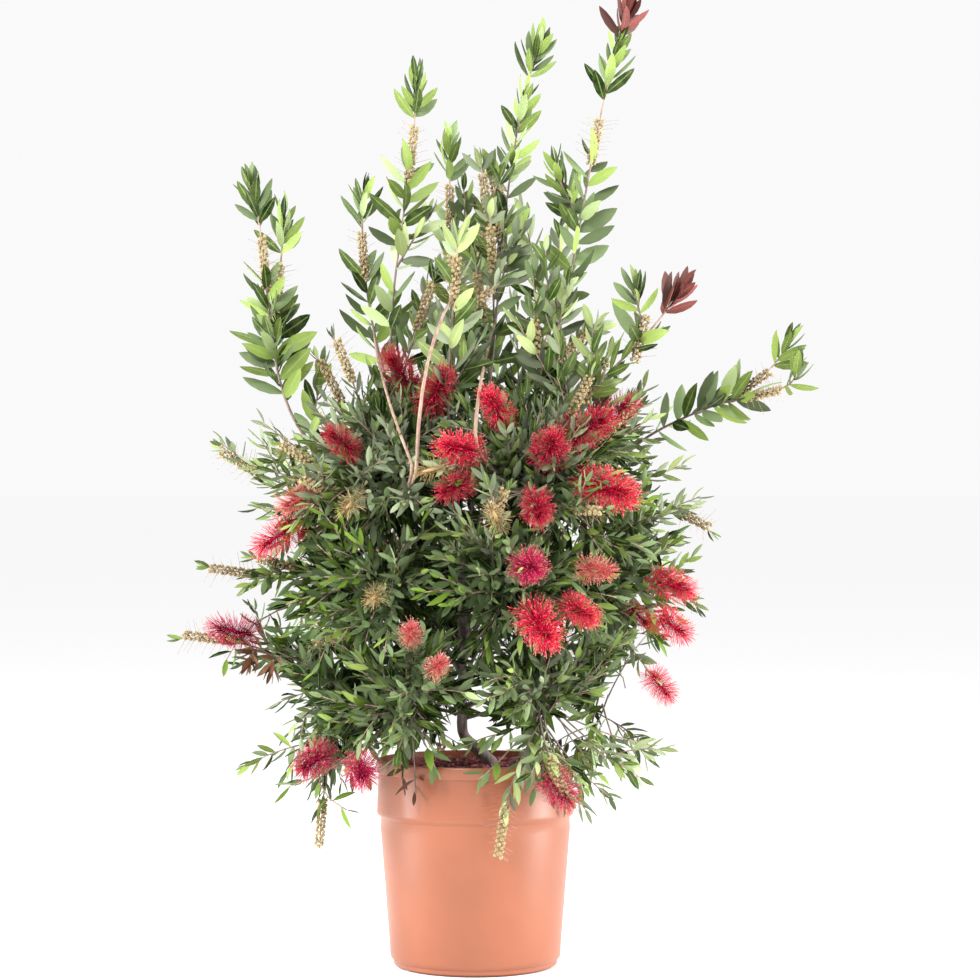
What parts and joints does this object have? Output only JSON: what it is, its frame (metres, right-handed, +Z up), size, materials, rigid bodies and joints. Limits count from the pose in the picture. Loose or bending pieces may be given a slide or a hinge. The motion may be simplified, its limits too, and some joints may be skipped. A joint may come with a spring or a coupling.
{
  "type": "potted bottlebrush shrub",
  "caption": "Bushy evergreen shrub with narrow leaves, red brush-shaped blooms, seed capsules and tall open shoots, in a round tapered plastic nursery pot.",
  "frame": {"origin": "centre of the pot's flat underside, where it stands on the ground", "axes": "+Z up, -Y towards the front view, +X to the right of it"},
  "size_m": [0.7884, 0.5755, 1.2026],
  "materials": {
    "pot": "terracotta-coloured moulded plastic with a soft sheen",
    "soil": "dark red-brown bark mulch on potting mix",
    "bark": "rough grey-brown bark",
    "crown_leaves": "leathery dark green leaves with red brush blooms",
    "shoot_leaves": "fresh green leaves, bronze at the tips, with tan seed capsules"
  },
  "bodies": {
    "root": {"pot": "pot", "soil": "soil", "trunk": "bark", "bough_low_1": "bark", "bough_low_2": "bark", "bough_low_3": "bark", "bough_low_4": "bark", "bough_low_5": "bark", "bough_low_6": "bark", "bough_middle_1": "bark", "bough_middle_2": "bark", "bough_middle_3": "bark", "bough_middle_4": "bark", "bough_middle_5": "bark", "bough_middle_6": "bark", "bough_upper_1": "bark", "bough_upper_2": "bark", "bough_upper_3": "bark", "bough_upper_4": "bark", "bough_shoot_left_pair": "bark", "bough_shoot_left": "bark", "bough_shoot_mid_left": "bark", "bough_shoot_mid": "bark", "bough_shoot_tall": "bark", "bough_shoot_top": "bark", "bough_shoot_right": "bark", "bough_shoot_far_right": "bark", "bough_shoot_centre_right": "bark", "bough_shoot_front": "bark", "bough_shoot_back": "bark", "bough_shoot_back_right": "bark", "foliage_low_1": "crown_leaves", "foliage_low_2": "crown_leaves", "foliage_low_3": "crown_leaves", "foliage_low_4": "crown_leaves", "foliage_low_5": "crown_leaves", "foliage_low_6": "crown_leaves", "foliage_middle_1": "crown_leaves", "foliage_middle_2": "crown_leaves", "foliage_middle_3": "crown_leaves", "foliage_middle_4": "crown_leaves", "foliage_middle_5": "crown_leaves", "foliage_middle_6": "crown_leaves", "foliage_upper_1": "crown_leaves", "foliage_upper_2": "crown_leaves", "foliage_upper_3": "crown_leaves", "foliage_upper_4": "crown_leaves", "shoot_left_pair": "shoot_leaves", "shoot_left": "shoot_leaves", "shoot_mid_left": "shoot_leaves", "shoot_mid": "shoot_leaves", "shoot_tall": "shoot_leaves", "shoot_top": "shoot_leaves", "shoot_right": "shoot_leaves", "shoot_far_right": "shoot_leaves", "shoot_centre_right": "shoot_leaves", "shoot_front": "shoot_leaves", "shoot_back": "shoot_leaves", "shoot_back_right": "shoot_leaves"}
  },
  "joints": []
}
